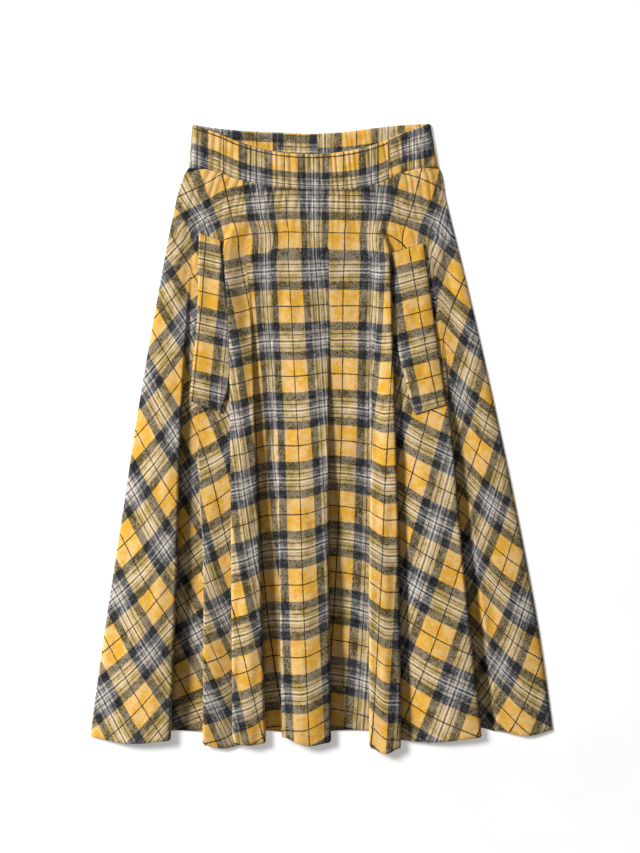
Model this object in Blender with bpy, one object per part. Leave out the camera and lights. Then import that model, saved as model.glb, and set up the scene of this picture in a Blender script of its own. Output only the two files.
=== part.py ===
"""An A-line midi skirt of brushed check flannel, lying flat on its back.

Metres. +X is the viewer's right, +Y runs from the hem to the waist, +Z is up, and z = 0 is the surface
that the skirt lies on. The cloth is five pieces: a gathered elastic waistband that runs round as one strip,
a flat back, a front that lies on it in flares and rolled folds, and two slanted pocket welts on the front.
"""

import math
from collections import namedtuple

import bmesh
import bpy
from mathutils import Vector
from mathutils.bvhtree import BVHTree

# Driving sizes
CLOTH = 0.0016  # wall of the front and the back
BAND_CLOTH = 0.0030  # wall of the waistband, cloth over elastic
WELT_CLOTH = 0.0024  # wall of a pocket welt, double cloth
SEAM_GAP = 0.0003  # between pieces that are sewn together
RUN_GAP = 0.0005  # between the waistband's two runs
SEAM_RISE = 0.0004  # the front's top edge stands this much higher than the band's upper run
WELT_LIFT = 0.0005  # from the front's facets to a welt's underside
WELT_CLEARANCE = 0.0005  # from a welt's inner edge to the foot of the fold that rolls towards it

FLOOR_LEVEL = 1.5 * CLOTH + SEAM_GAP  # middle of the front's wall where it rests on the back
BAND_BACK_LEVEL = BAND_CLOTH / 2  # middle of the waistband's lower run
BAND_FRONT_LEVEL = 1.5 * BAND_CLOTH + RUN_GAP  # the same for its upper run
BAND_END_RISE = 0.0012  # more height where the band turns over at its two ends
BAND_END_REACH = 0.016  # how far from an end that height fades
BAND_MOUTH_RISE = 0.0016  # the upper run's top edge stands this much higher
BAND_CENTRE_BACK = -0.006  # where the strip's two ends meet

GATHERS_PER_RUN = 28  # on the front run and again on the back run
GATHER_HEIGHT = 0.0018  # from trough to crest
EASE_HEIGHT = 0.0013  # the same ripples where the skirt is eased into the band
EASE_REACH = 0.13  # share of the length over which they fade
FOLD_REST_WIDTH = 0.0018  # cloth that a fold takes before it has any depth
FOLD_REST_RADIUS = 0.35  # its radius there, as a share of the radius at the hem
FOLD_SPREAD = 1.4  # a roll is this much wider than it is high
FOLD_HEM_TURN = 0.6  # share of a roll, from its upper end, in which the hem goes over to the lower strip's
SIDE_ROLL = 0.010  # width over which a side edge curves down to the back
SIDE_ROLL_HEIGHT = 0.0045  # height of that curve at the hem

# Outline of the two body pieces: share of the length, left and right edge
Side = namedtuple("Side", "share left right")
SIDES = [
    Side(0.000, -0.1730, 0.1500),
    Side(0.015, -0.1795, 0.1550),
    Side(0.060, -0.1895, 0.1605),
    Side(0.200, -0.2095, 0.1856),
    Side(0.410, -0.2365, 0.2207),
    Side(0.620, -0.2600, 0.2530),
    Side(0.830, -0.2835, 0.2815),
    Side(1.000, -0.3005, 0.2990),
]

# Edges of the waistband from left to right: seam to the front, its top, back's top, seam to the back
Waist = namedtuple("Waist", "x seam top back_top back_seam")
WAIST = [
    Waist(-0.1730, 0.3520, 0.4055, 0.4065, 0.3520),
    Waist(-0.1450, 0.3485, 0.3970, 0.4025, 0.3515),
    Waist(-0.1050, 0.3355, 0.3820, 0.3990, 0.3490),
    Waist(-0.0600, 0.3275, 0.3715, 0.3970, 0.3470),
    Waist(-0.0100, 0.3240, 0.3682, 0.3953, 0.3455),
    Waist(0.0350, 0.3245, 0.3718, 0.3975, 0.3470),
    Waist(0.0750, 0.3320, 0.3805, 0.4025, 0.3500),
    Waist(0.1100, 0.3470, 0.3937, 0.4060, 0.3530),
    Waist(0.1500, 0.3540, 0.4075, 0.4080, 0.3540),
]
BAND_TOP_LEFT, BAND_TOP_RIGHT = -0.1690, 0.1408  # ends of the band at its top, closer than at the seam

# Folds of the front from left to right. An edge that faces right lies over the cloth to its right.
# begins: share of the length where the fold starts; at_10 ... at_hem: the edge's x at those shares;
# radius, turn (degrees) and tuck: the roll and the cloth behind it at the hem; under: height above the
# back of the cloth that it lies over; quickness: how soon the roll turns over below its start.
Fold = namedtuple("Fold", "faces begins at_10 at_25 at_45 at_70 at_hem radius turn tuck under quickness columns")
FOLDS = [
    Fold("right", 0.14, -0.1680, -0.1758, -0.1842, -0.1888, -0.1966, 0.0038, 160, 0.010, 0.000, 2.2, 11),
    Fold("left", 0.44, -0.1510, -0.1524, -0.1600, -0.1537, -0.1543, 0.0021, 130, 0.005, 0.000, 2.2, 9),
    Fold("left", 0.00, -0.1296, -0.1212, -0.1186, -0.1173, -0.1157, 0.0030, 165, 0.009, 0.002, 6.0, 11),
    Fold("right", 0.12, -0.1030, -0.0926, -0.0874, -0.0802, -0.0737, 0.0034, 160, 0.008, 0.000, 2.2, 11),
    Fold("left", 0.34, -0.0679, -0.0627, -0.0588, -0.0549, -0.0516, 0.0032, 150, 0.008, 0.000, 2.2, 11),
    Fold("right", 0.20, 0.0075, 0.0075, 0.0075, 0.0082, 0.0108, 0.0032, 150, 0.008, 0.000, 2.2, 11),
    Fold("left", 0.30, 0.0621, 0.0634, 0.0647, 0.0615, 0.0618, 0.0034, 160, 0.008, 0.000, 2.2, 11),
    Fold("right", 0.00, 0.0868, 0.0901, 0.0946, 0.0992, 0.1011, 0.0030, 165, 0.009, 0.002, 6.0, 11),
    Fold("right", 0.26, 0.1346, 0.1505, 0.1662, 0.1825, 0.2058, 0.0030, 160, 0.010, 0.000, 2.2, 11),
    Fold("left", 0.45, 0.1530, 0.1665, 0.1820, 0.2012, 0.2279, 0.0021, 125, 0.005, 0.000, 2.2, 9),
]
LEFT_WELT_FOLD, RIGHT_WELT_FOLD = 2, 7  # the folds that roll over the welts' inner edges

# Strips between the folds, with the hem's y at the left end, the middle and the right end of each
Strip = namedtuple("Strip", "hem_left hem_middle hem_right crown columns")
STRIPS = [
    Strip(-0.3857, -0.3942, -0.3903, 0.0030, 9),
    Strip(-0.3786, -0.3779, -0.3799, 0.0000, 3),
    Strip(-0.3968, -0.4007, -0.3955, 0.0010, 4),
    Strip(-0.3929, -0.3961, -0.3942, 0.0024, 5),
    Strip(-0.3799, -0.3786, -0.3825, 0.0000, 3),
    Strip(-0.3864, -0.3968, -0.3929, 0.0034, 7),
    Strip(-0.3799, -0.3773, -0.3799, 0.0000, 4),
    Strip(-0.4007, -0.4072, -0.4007, 0.0024, 5),
    Strip(-0.3890, -0.3929, -0.3864, 0.0020, 8),
    Strip(-0.3760, -0.3747, -0.3786, 0.0000, 2),
    Strip(-0.3786, -0.3851, -0.3773, 0.0020, 6),
]
FRONT_ROWS = 13
BACK_COLUMNS, BACK_ROWS = 24, 10
BACK_HEM_LEFT, BACK_HEM_RIGHT = -0.3840, -0.3755  # the back's hem corners
BACK_HEM_RISE = 0.0060  # the back's hem is this much higher between them

# Pocket welts: share down the welt, outer (side) edge and inner edge. The slant is in the numbers.
WeltRow = namedtuple("WeltRow", "down outer_x outer_y inner_x inner_y")
WELT_LEFT = [
    WeltRow(0.0, -0.1592, 0.2662, -0.1330, 0.2570),
    WeltRow(0.5, -0.1617, 0.1544, -0.1222, 0.1460),
    WeltRow(0.8, -0.1676, 0.0900, -0.1216, 0.0790),
    WeltRow(1.0, -0.1717, 0.0499, -0.1318, 0.0338),
]
WELT_RIGHT = [
    WeltRow(0.0, 0.1310, 0.2526, 0.0895, 0.2418),
    WeltRow(0.5, 0.1453, 0.1479, 0.0960, 0.1350),
    WeltRow(0.8, 0.1545, 0.0820, 0.1100, 0.0710),
    WeltRow(1.0, 0.1597, 0.0450, 0.1203, 0.0325),
]
WELT_COLUMNS, WELT_ROWS = 7, 14
BAND_COLUMNS_PER_GATHER, BAND_TURN_COLUMNS, BAND_ROWS = 4, 8, 2

# Colour, roughness
CHECK_YELLOW = (0.62, 0.36, 0.07, 1.0)
CHECK_NAVY = (0.06, 0.07, 0.10, 1.0)
CHECK_BEIGE = (0.45, 0.36, 0.22, 1.0)
FLANNEL_ROUGHNESS = 0.92


def smooth(x):
    """Eases from 0 to 1, level at both ends."""
    x = min(max(x, 0.0), 1.0)
    return x * x * (3 - 2 * x)


def mix(a, b, share):
    return a + (b - a) * share


def curve(places, values, at):
    """A smooth curve through the values at those places, straight past its ends."""
    last = len(places) - 1
    at = min(max(at, places[0]), places[last])
    i = max(k for k in range(last) if places[k] <= at)

    def slope(k):
        a, b = max(k - 1, 0), min(k + 1, last)
        return (values[b] - values[a]) / (places[b] - places[a])

    run = places[i + 1] - places[i]
    t = (at - places[i]) / run
    return (
        (2 * t**3 - 3 * t**2 + 1) * values[i]
        + (t**3 - 2 * t**2 + t) * run * slope(i)
        + (3 * t**2 - 2 * t**3) * values[i + 1]
        + (t**3 - t**2) * run * slope(i + 1)
    )


def column(rows, place, value, at):
    """A named column of a table, as a smooth curve over another."""
    return curve([getattr(r, place) for r in rows], [getattr(r, value) for r in rows], at)


def side(share, which):
    return column(SIDES, "share", which, share)


def waist(x, which):
    return column(WAIST, "x", which, x)


def new_material(name, colour):
    material = bpy.data.materials.new(name)
    material.use_nodes = True
    shader = material.node_tree.nodes["Principled BSDF"]
    shader.inputs["Base Color"].default_value = colour
    shader.inputs["Roughness"].default_value = FLANNEL_ROUGHNESS
    shader.inputs["Metallic"].default_value = 0.0
    return material


def cloth_wall(name, columns, rows, two_sides, material, collection):
    """A closed wall from a grid: two_sides(column, row) gives its outer and its inner point."""
    mesh = bmesh.new()
    bmesh.ops.create_grid(mesh, x_segments=columns, y_segments=rows, size=0.5)
    places = {v: (round((v.co.x + 0.5) * columns), round((v.co.y + 0.5) * rows)) for v in mesh.verts}
    points = {place: two_sides(*place) for place in places.values()}
    faces = bmesh.ops.extrude_face_region(mesh, geom=mesh.faces[:])
    for item in faces["geom"]:
        if isinstance(item, bmesh.types.BMVert):
            place = (round((item.co.x + 0.5) * columns), round((item.co.y + 0.5) * rows))
            item.co = points[place][0]
    for v, place in places.items():
        v.co = points[place][1]
    bmesh.ops.recalc_face_normals(mesh, faces=mesh.faces[:])
    data = bpy.data.meshes.new(name)
    mesh.to_mesh(data)
    mesh.free()
    data.shade_smooth()
    data.set_sharp_from_angle(angle=math.radians(50))
    data.materials.append(material)
    piece = bpy.data.objects.new(name, data)
    collection.objects.link(piece)
    return piece


# ---- front ----


def fold_state(fold, share):
    """Radius, turn (radians), tuck, height and sideways travel of a fold at a share of the length."""
    grown = min(max((share - fold.begins) / (1 - fold.begins), 0.0), 1.0)
    radius = fold.radius * mix(FOLD_REST_RADIUS, 1, grown)
    turn = math.radians(fold.turn) * (1 - (1 - grown) ** fold.quickness)
    tuck = mix(FOLD_REST_WIDTH, fold.tuck, grown)
    height = 2 * radius * (1 - math.cos(turn)) + tuck * math.sin(turn)
    travel = (2 * radius * math.sin(turn) + tuck * math.cos(turn)) * FOLD_SPREAD
    return radius, turn, tuck, height, travel


def fold_edge(fold, share):
    return curve(
        [0.10, 0.25, 0.45, 0.70, 1.00],
        [fold.at_10, fold.at_25, fold.at_45, fold.at_70, fold.at_hem],
        share,
    )


def fold_ends(fold, share):
    """(x, z) of the upper and of the lower end of a fold's roll."""
    radius, turn, _, height, travel = fold_state(fold, share)
    facing = 1 if fold.faces == "right" else -1
    upper = fold_edge(fold, share) - facing * radius * FOLD_SPREAD * math.sin(min(turn, math.pi / 2))
    level = FLOOR_LEVEL + fold.under * smooth(share)
    return (upper, level + height), (upper + facing * travel, level)


def fold_point(fold, share, along):
    """A point of the roll, from its upper end (0) to its lower end (1)."""
    radius, turn, tuck, _, _ = fold_state(fold, share)
    arc = radius * turn
    way = along * (2 * arc + tuck)
    first = min(way, arc)
    straight = min(max(way - arc, 0.0), tuck)
    second = max(way - arc - tuck, 0.0)
    angle, turned = first / radius, second / radius
    out = radius * math.sin(angle) + straight * math.cos(turn)
    out += radius * (math.sin(turn) - math.sin(turn - turned))
    down = radius * (1 - math.cos(angle)) + straight * math.sin(turn)
    down += radius * (math.cos(turn - turned) - math.cos(turn))
    facing = 1 if fold.faces == "right" else -1
    (x, z), _ = fold_ends(fold, share)
    return x + facing * out * FOLD_SPREAD, z - down


def left_end(index, share):
    """(x, z) where strip number index starts, at a side edge or at the fold on its left."""
    if index == 0:
        return side(share, "left"), FLOOR_LEVEL
    fold = FOLDS[index - 1]
    upper, lower = fold_ends(fold, share)
    return lower if fold.faces == "right" else upper


def right_end(index, share):
    if index == len(FOLDS):
        return side(share, "right"), FLOOR_LEVEL
    fold = FOLDS[index]
    upper, lower = fold_ends(fold, share)
    return upper if fold.faces == "right" else lower


def strip_point(index, share, along):
    """A point across a strip. The first and the last strip curve down to the back at the side edge."""
    (x0, z0), (x1, z1) = left_end(index, share), right_end(index, share)
    x = mix(x0, x1, along)
    roll = SIDE_ROLL_HEIGHT * (0.3 + 0.7 * share)
    from_side = SIDE_ROLL
    if index == 0:
        z0, from_side = z0 + roll, x - x0
    if index == len(FOLDS):
        z1, from_side = z1 + roll, x1 - x
    reach = 1 - min(max(from_side, 0.0) / SIDE_ROLL, 1.0)
    z = mix(z0, z1, smooth(along)) - roll * (1 - math.sqrt(1 - reach**2))
    return x, z + STRIPS[index].crown * share * math.sin(math.pi * along) ** 2


def front_columns():
    """Every column of the front as (is it a fold, which one, share of the way across it)."""
    found = []
    for i, strip in enumerate(STRIPS):
        spaced = [j / strip.columns for j in range(strip.columns)]
        if i == 0:
            spaced = [s**1.4 for s in spaced]
        if i == len(FOLDS):
            spaced = [1 - (1 - s) ** 1.4 for s in spaced]
        found += [(False, i, s) for s in spaced]
        if i < len(FOLDS):
            fold = FOLDS[i]
            steps = [j / fold.columns for j in range(fold.columns)]
            found += [(True, i, s if fold.faces == "right" else 1 - s) for s in steps]
    return found + [(False, len(FOLDS), 1.0)]


def hem(place):
    is_fold, i, along = place
    if is_fold:
        facing_right = FOLDS[i].faces == "right"
        share = along if facing_right else 1 - along
        corner = 0 if facing_right else 1 - FOLD_HEM_TURN
        return mix(STRIPS[i].hem_right, STRIPS[i + 1].hem_left, smooth((share - corner) / FOLD_HEM_TURN))
    s = STRIPS[i]
    return curve([0.0, 0.5, 1.0], [s.hem_left, s.hem_middle, s.hem_right], along)


def front_middle(place, across, share):
    """Middle of the front's wall; across is the column's place at the waist, from 0 to 1."""
    is_fold, i, along = place
    x, z = fold_point(FOLDS[i], share, along) if is_fold else strip_point(i, share, along)
    even = mix(side(share, "left"), side(share, "right"), across)
    folded = smooth(share / EASE_REACH)
    x = mix(even, x, folded)
    z = mix(FLOOR_LEVEL, z, folded)
    at_waist = mix(side(0, "left"), side(0, "right"), across)
    eased = 1 - folded
    inward = smooth(min(across, 1 - across) / 0.06)
    z += (BAND_FRONT_LEVEL + SEAM_RISE - FLOOR_LEVEL) * inward * (1 - smooth(share / 0.07))
    z += EASE_HEIGHT / 2 * eased * inward * (1 - math.cos(2 * math.pi * GATHERS_PER_RUN * across))
    top = waist(at_waist, "seam") - SEAM_GAP / 2
    return Vector((x, mix(top, hem(place), share), z))


def make_front(material, collection):
    places = front_columns()
    columns = len(places) - 1

    def two_sides(c, r):
        share = (r / FRONT_ROWS) ** 1.35
        lower, upper = max(share - 0.01, 0.0), min(share + 0.01, 1.0)
        before, after = max(c - 1, 0), min(c + 1, columns)
        middle = front_middle(places[c], c / columns, share)
        along = front_middle(places[c], c / columns, lower) - front_middle(places[c], c / columns, upper)
        across = front_middle(places[after], after / columns, share)
        across -= front_middle(places[before], before / columns, share)
        out = across.cross(along).normalized() * CLOTH / 2
        return middle + out, middle - out

    return cloth_wall("front", columns, FRONT_ROWS, two_sides, material, collection)


# ---- back ----


def make_back(material, collection):
    """A flat wall with the front's outline, its hem a little higher so that the front covers it."""

    def two_sides(c, r):
        across, share = c / BACK_COLUMNS, r / BACK_ROWS
        x = mix(side(share, "left"), side(share, "right"), across)
        at_waist = mix(side(0, "left"), side(0, "right"), across)
        top = waist(at_waist, "back_seam") - SEAM_GAP / 2
        low = mix(BACK_HEM_LEFT, BACK_HEM_RIGHT, across) + BACK_HEM_RISE * math.sin(math.pi * across) ** 0.7
        y = mix(top, low, share)
        return Vector((x, y, CLOTH)), Vector((x, y, 0))

    return cloth_wall("back", BACK_COLUMNS, BACK_ROWS, two_sides, material, collection)


# ---- waistband ----


def band_stations():
    """Stations along the strip: (run, share of the run). The strip starts and ends at centre back."""
    across = (BAND_CENTRE_BACK - side(0, "left")) / (side(0, "right") - side(0, "left"))
    per_run = GATHERS_PER_RUN * BAND_COLUMNS_PER_GATHER
    right_steps = round(per_run * (1 - across))
    stations = [("back", mix(across, 1, j / right_steps)) for j in range(right_steps)]
    stations += [("right turn", j / BAND_TURN_COLUMNS) for j in range(BAND_TURN_COLUMNS)]
    stations += [("front", 1 - j / per_run) for j in range(per_run)]
    stations += [("left turn", j / BAND_TURN_COLUMNS) for j in range(BAND_TURN_COLUMNS)]
    left_steps = per_run - right_steps
    return stations + [("back", across * j / left_steps) for j in range(left_steps + 1)]


def band_two_sides(station, row, first, last):
    """Outer and inner point of the strip at a station, row from 0 at the seam to 1 at the top."""
    run, share = station
    turn_height = BAND_FRONT_LEVEL + BAND_END_RISE - BAND_BACK_LEVEL
    radius = turn_height / 2
    outer_radius = radius + BAND_CLOTH / 2
    left = mix(side(0, "left"), BAND_TOP_LEFT, row) + outer_radius
    right = mix(side(0, "right"), BAND_TOP_RIGHT, row) - outer_radius
    ends = {"right turn": 1.0, "left turn": 0.0}
    across = ends.get(run, share)
    x = mix(left, right, across)
    nominal = mix(side(0, "left"), side(0, "right"), across)
    front_y = mix(waist(nominal, "seam") + SEAM_GAP / 2, waist(nominal, "top"), row)
    back_y = mix(waist(nominal, "back_seam") + SEAM_GAP / 2, waist(nominal, "back_top"), row)
    wave = (1 - math.cos(2 * math.pi * GATHERS_PER_RUN * across)) / 2
    if run == "back":
        if first:
            x += SEAM_GAP / 2
        if last:
            x -= SEAM_GAP / 2
        return Vector((x, back_y, 0)), Vector((x, back_y, BAND_CLOTH - wave * GATHER_HEIGHT / 2))
    if run == "front":
        near = min(x - left, right - x)
        level = BAND_FRONT_LEVEL + BAND_END_RISE * (1 - smooth(near / BAND_END_REACH))
        level += wave * GATHER_HEIGHT + BAND_MOUTH_RISE * row * math.sin(math.pi * across)
        half = Vector((0, 0, BAND_CLOTH / 2))
        return Vector((x, front_y, level)) + half, Vector((x, front_y, level)) - half
    angle = math.pi * share  # from the surface up on the right, and down again on the left
    facing = 1 if run == "right turn" else -1
    up = -math.cos(angle) * facing
    out = Vector((facing * math.sin(angle), 0, up))
    middle = Vector((x, mix(back_y, front_y, (1 + up) / 2), BAND_BACK_LEVEL + radius))
    return middle + out * outer_radius, middle + out * (radius - BAND_CLOTH / 2)


def make_waistband(material, collection):
    stations = band_stations()
    last = len(stations) - 1

    def two_sides(c, r):
        return band_two_sides(stations[c], r / BAND_ROWS, c == 0, c == last)

    return cloth_wall("waistband", last, BAND_ROWS, two_sides, material, collection)


# ---- pocket welts ----


def clear_of_fold(x, y, fold):
    """x, or as far as a welt's inner edge may reach towards the foot of the fold's roll at that y."""
    share = (waist(x, "seam") - y) / (waist(x, "seam") - STRIPS[FOLDS.index(fold)].hem_right)
    _, (foot, _) = fold_ends(fold, share)
    edge = fold_edge(fold, share)
    room = CLOTH / 2 + WELT_CLEARANCE
    if fold.faces == "left":
        return min(x, min(foot, edge) - room)
    return max(x, max(foot, edge) + room)


def make_welt(name, rows, fold, front, material, collection):
    """A double strip that lies on the front, each point moved out from the front's own surface."""
    surface = BVHTree.FromObject(front, bpy.context.evaluated_depsgraph_get())
    above = 0.1

    def front_height(x, y):
        return surface.ray_cast(Vector((x, y, above)), Vector((0, 0, -1)))[0].z

    def two_sides(c, r):
        across, down = c / WELT_COLUMNS, r / WELT_ROWS
        outer_x, outer_y = column(rows, "down", "outer_x", down), column(rows, "down", "outer_y", down)
        inner_x, inner_y = column(rows, "down", "inner_x", down), column(rows, "down", "inner_y", down)
        x = mix(outer_x, clear_of_fold(inner_x, inner_y, fold), across)
        y = mix(outer_y, inner_y, across)
        under = front_height(x, y) + WELT_LIFT
        return Vector((x, y, under + WELT_CLOTH)), Vector((x, y, under))

    return cloth_wall(name, WELT_COLUMNS, WELT_ROWS, two_sides, material, collection)


def main():
    for old in list(bpy.data.objects):
        bpy.data.objects.remove(old, do_unlink=True)
    skirt = bpy.data.collections.new("a_line_skirt")
    bpy.context.scene.collection.children.link(skirt)
    front = make_front(new_material("front_flannel", CHECK_YELLOW), skirt)
    make_back(new_material("back_flannel", CHECK_BEIGE), skirt)
    make_waistband(new_material("band_flannel", CHECK_NAVY), skirt)
    bpy.context.view_layer.update()
    welt_material = new_material("welt_flannel", CHECK_BEIGE)
    make_welt("pocket_welt_left", WELT_LEFT, FOLDS[LEFT_WELT_FOLD], front, welt_material, skirt)
    make_welt("pocket_welt_right", WELT_RIGHT, FOLDS[RIGHT_WELT_FOLD], front, welt_material, skirt)


main()
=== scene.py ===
# A-line midi skirt of brushed check flannel, laid flat on its back. Metres, +Y towards the waist.
import math
from collections import namedtuple

import bpy
import numpy as np
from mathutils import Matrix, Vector
from mathutils.bvhtree import BVHTree


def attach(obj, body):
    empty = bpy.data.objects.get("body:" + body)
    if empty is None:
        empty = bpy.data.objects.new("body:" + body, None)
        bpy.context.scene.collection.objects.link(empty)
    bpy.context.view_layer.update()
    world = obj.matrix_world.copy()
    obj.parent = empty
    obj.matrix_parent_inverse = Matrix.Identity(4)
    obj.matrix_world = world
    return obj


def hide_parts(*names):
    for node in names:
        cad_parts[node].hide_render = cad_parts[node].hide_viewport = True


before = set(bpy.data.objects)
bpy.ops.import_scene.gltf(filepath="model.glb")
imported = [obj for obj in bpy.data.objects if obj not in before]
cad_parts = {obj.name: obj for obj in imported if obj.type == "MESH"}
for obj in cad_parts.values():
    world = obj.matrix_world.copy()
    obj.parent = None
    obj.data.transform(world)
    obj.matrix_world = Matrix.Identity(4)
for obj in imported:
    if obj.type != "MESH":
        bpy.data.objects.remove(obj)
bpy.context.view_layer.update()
print("frame loaded:", ", ".join(sorted(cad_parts)))


# small helpers, all of which take arrays
def smooth(x):
    x = np.clip(x, 0.0, 1.0)
    return x * x * (3 - 2 * x)


def mix(a, b, share):
    return a + (b - a) * share


def curve(places, values, at):
    # a smooth line through the values at those places, level past its ends
    places, values = np.asarray(places, float), np.asarray(values, float)
    at = np.clip(at, places[0], places[-1])
    last = len(places) - 1
    i = np.clip(np.searchsorted(places, at, side="right") - 1, 0, last - 1)
    k = np.arange(last + 1)
    before, after = np.maximum(k - 1, 0), np.minimum(k + 1, last)
    slopes = (values[after] - values[before]) / (places[after] - places[before])
    run = places[i + 1] - places[i]
    t = (at - places[i]) / run
    return (
        (2 * t**3 - 3 * t**2 + 1) * values[i]
        + (t**3 - 2 * t**2 + t) * run * slopes[i]
        + (3 * t**2 - 2 * t**3) * values[i + 1]
        + (t**3 - t**2) * run * slopes[i + 1]
    )


def column(rows, place, value, at):
    return curve([getattr(r, place) for r in rows], [getattr(r, value) for r in rows], at)


def straight(rows, place, value, at):
    return np.interp(at, [getattr(r, place) for r in rows], [getattr(r, value) for r in rows])


def addObject(name, data):
    made = bpy.data.objects.new(name, data)
    bpy.context.scene.collection.objects.link(made)
    return made


# sizes shared by the pieces, the same as the solids'
cloth = {
    "wall": 0.0016,
    "bandWall": 0.0030,
    "weltWall": 0.0024,
    "seamGap": 0.0003,
    "edgeRounding": 0.45,  # how far a cut edge bulges, in walls
    "edgeFloor": 0.0003,  # the lowest that a bulge hangs
    "bandClearance": 0.0002,  # more room between the waistband's two runs
}
floorLevel = 1.5 * cloth["wall"] + cloth["seamGap"]  # middle of the front's wall on the back
bandBackLevel = cloth["bandWall"] / 2
bandFrontLevel = 1.5 * cloth["bandWall"] + cloth["seamGap"] + cloth["bandClearance"]

sideRow = namedtuple("sideRow", "share left right")
sideRows = [
    sideRow(0.000, -0.1730, 0.1500),
    sideRow(0.015, -0.1795, 0.1550),
    sideRow(0.060, -0.1895, 0.1605),
    sideRow(0.200, -0.2095, 0.1856),
    sideRow(0.410, -0.2365, 0.2207),
    sideRow(0.620, -0.2600, 0.2530),
    sideRow(0.830, -0.2835, 0.2815),
    sideRow(1.000, -0.3005, 0.2990),
]
waistRow = namedtuple("waistRow", "x seam top backTop backSeam")
waistRows = [
    waistRow(-0.1730, 0.3520, 0.4055, 0.4065, 0.3520),
    waistRow(-0.1450, 0.3485, 0.3970, 0.4025, 0.3515),
    waistRow(-0.1050, 0.3355, 0.3820, 0.3990, 0.3490),
    waistRow(-0.0600, 0.3275, 0.3715, 0.3970, 0.3470),
    waistRow(-0.0100, 0.3240, 0.3682, 0.3953, 0.3455),
    waistRow(0.0350, 0.3245, 0.3718, 0.3975, 0.3470),
    waistRow(0.0750, 0.3320, 0.3805, 0.4025, 0.3500),
    waistRow(0.1100, 0.3470, 0.3937, 0.4060, 0.3530),
    waistRow(0.1500, 0.3540, 0.4075, 0.4080, 0.3540),
]


def gridOf(columns, rows):
    # shares across and down, for every point of a grid
    return np.meshgrid(np.arange(columns + 1) / columns, np.arange(rows + 1) / rows)


def side(share, which):
    return column(sideRows, "share", which, share)


def waist(x, which):
    return column(waistRows, "x", which, x)


def waistX(across):
    return mix(sideRows[0].left, sideRows[0].right, across)


def rimOf(outer, inner):
    # the grid places round a wall's edge, and the points where that edge bulges out
    rows, columns = outer.shape[:2]
    rim = np.concatenate(
        [
            [(0, c) for c in range(columns - 1)],
            [(r, columns - 1) for r in range(rows - 1)],
            [(rows - 1, c) for c in range(columns - 1, 0, -1)],
            [(r, 0) for r in range(rows - 1, 0, -1)],
        ]
    )
    middle = (outer + inner) / 2
    inwards = np.clip(rim, 1, [rows - 2, columns - 2])
    out = middle[rim[:, 0], rim[:, 1]] - middle[inwards[:, 0], inwards[:, 1]]
    out /= np.maximum(np.linalg.norm(out, axis=1, keepdims=True), 1e-9)
    wall = np.linalg.norm(outer - inner, axis=2)[rim[:, 0], rim[:, 1]][:, None]
    bulge = middle[rim[:, 0], rim[:, 1]] + out * wall * cloth["edgeRounding"]
    bulge[:, 2] = np.maximum(bulge[:, 2], cloth["edgeFloor"])
    return rim, bulge


def makeWall(name, outer, inner, grain, material, replaced):
    # a wall of cloth from its two sides: outer and inner are rows x columns x 3, and grain is x 2, in repeats
    rows, columns = outer.shape[:2]
    rim, bulge = rimOf(outer, inner)
    vertices = np.concatenate([outer.reshape(-1, 3), inner.reshape(-1, 3), bulge])
    count = rows * columns
    index = np.arange(count).reshape(rows, columns)
    a, b = index[:-1, :-1].ravel(), index[:-1, 1:].ravel()
    c, d = index[1:, 1:].ravel(), index[1:, :-1].ravel()
    upper = np.stack([d, c, b, a], 1)
    lower = np.stack([a, b, c, d], 1) + count
    edge = index[rim[:, 0], rim[:, 1]]
    following = np.roll(edge, -1)
    third = np.arange(len(rim)) + 2 * count
    thirdNext = np.roll(third, -1)
    rimUpper = np.stack([edge, following, thirdNext, third], 1)
    rimLower = np.stack([third, thirdNext, following + count, edge + count], 1)
    faces = np.concatenate([upper, lower, rimUpper, rimLower])
    mesh = bpy.data.meshes.new(name)
    mesh.from_pydata(vertices.tolist(), [], faces.tolist())
    flat = grain.reshape(-1, 2)
    perVertex = np.concatenate([flat, flat, flat[edge]])
    layer = mesh.uv_layers.new(name="grain")
    layer.data.foreach_set("uv", perVertex[faces.ravel()].astype(np.float32).ravel())
    mesh.shade_smooth()
    mesh.materials.append(material)
    mesh.validate()
    piece = addObject(name, mesh)
    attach(piece, "root")
    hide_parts(replaced)
    print(f"{name}: {len(faces)} faces")
    return piece


def sidesOf(middle, wall):
    # the two sides of a wall round its middle, along the middle's own normals
    along = np.gradient(middle, axis=0)
    across = np.gradient(middle, axis=1)
    normal = np.cross(across, -along)
    normal /= np.maximum(np.linalg.norm(normal, axis=2, keepdims=True), 1e-12)
    return middle + normal * wall / 2, middle - normal * wall / 2


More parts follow.
